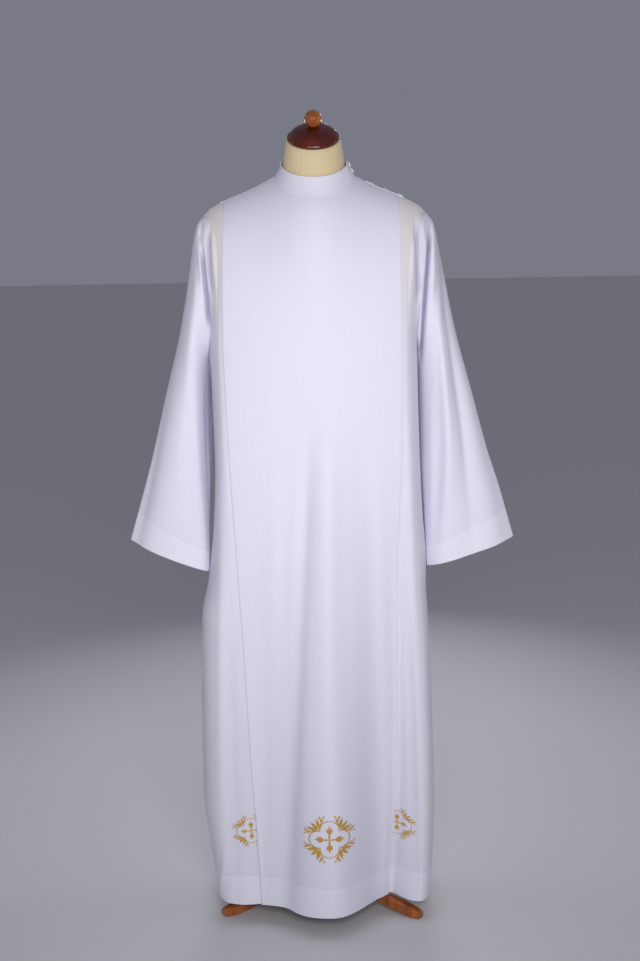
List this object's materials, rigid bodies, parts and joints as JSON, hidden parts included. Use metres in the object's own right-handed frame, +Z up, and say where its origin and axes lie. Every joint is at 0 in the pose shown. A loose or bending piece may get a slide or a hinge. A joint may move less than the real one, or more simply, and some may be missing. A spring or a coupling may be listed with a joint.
{
  "type": "alb robe on dress form",
  "caption": "Full-length white alb with a stand collar, deep front pleats and wide sleeves, shown on a limbless dress form with a wooden tripod stand.",
  "frame": {"origin": "on the floor, at the middle of the part's footprint box", "axes": "+Z up, the wearer faces -Y, +X is the wearer's left"},
  "size_m": [0.7957, 0.4657, 1.6656],
  "materials": {
    "alb_cloth": "matt plain-weave white cloth with a faint cool tint",
    "button": "white, softly glossy",
    "form_cover": "matt cream cotton jersey cover",
    "dark_wood": "dark mahogany stain under gloss lacquer",
    "wood": "orange-brown stain under satin lacquer"
  },
  "bodies": {
    "root": {"front_panel": "alb_cloth", "side_front_left": "alb_cloth", "side_front_right": "alb_cloth", "back": "alb_cloth", "sleeve_left": "alb_cloth", "sleeve_right": "alb_cloth", "collar": "alb_cloth", "shoulder_placket": "alb_cloth", "button_1": "button", "button_2": "button", "button_3": "button", "button_4": "button", "button_5": "button", "form_torso": "form_cover", "form_neck": "form_cover", "neck_cap": "dark_wood", "cap_knob": "wood", "stand_pole": "wood", "stand_hub": "wood", "stand_leg_0": "wood", "stand_leg_1": "wood", "stand_leg_2": "wood"}
  },
  "joints": []
}
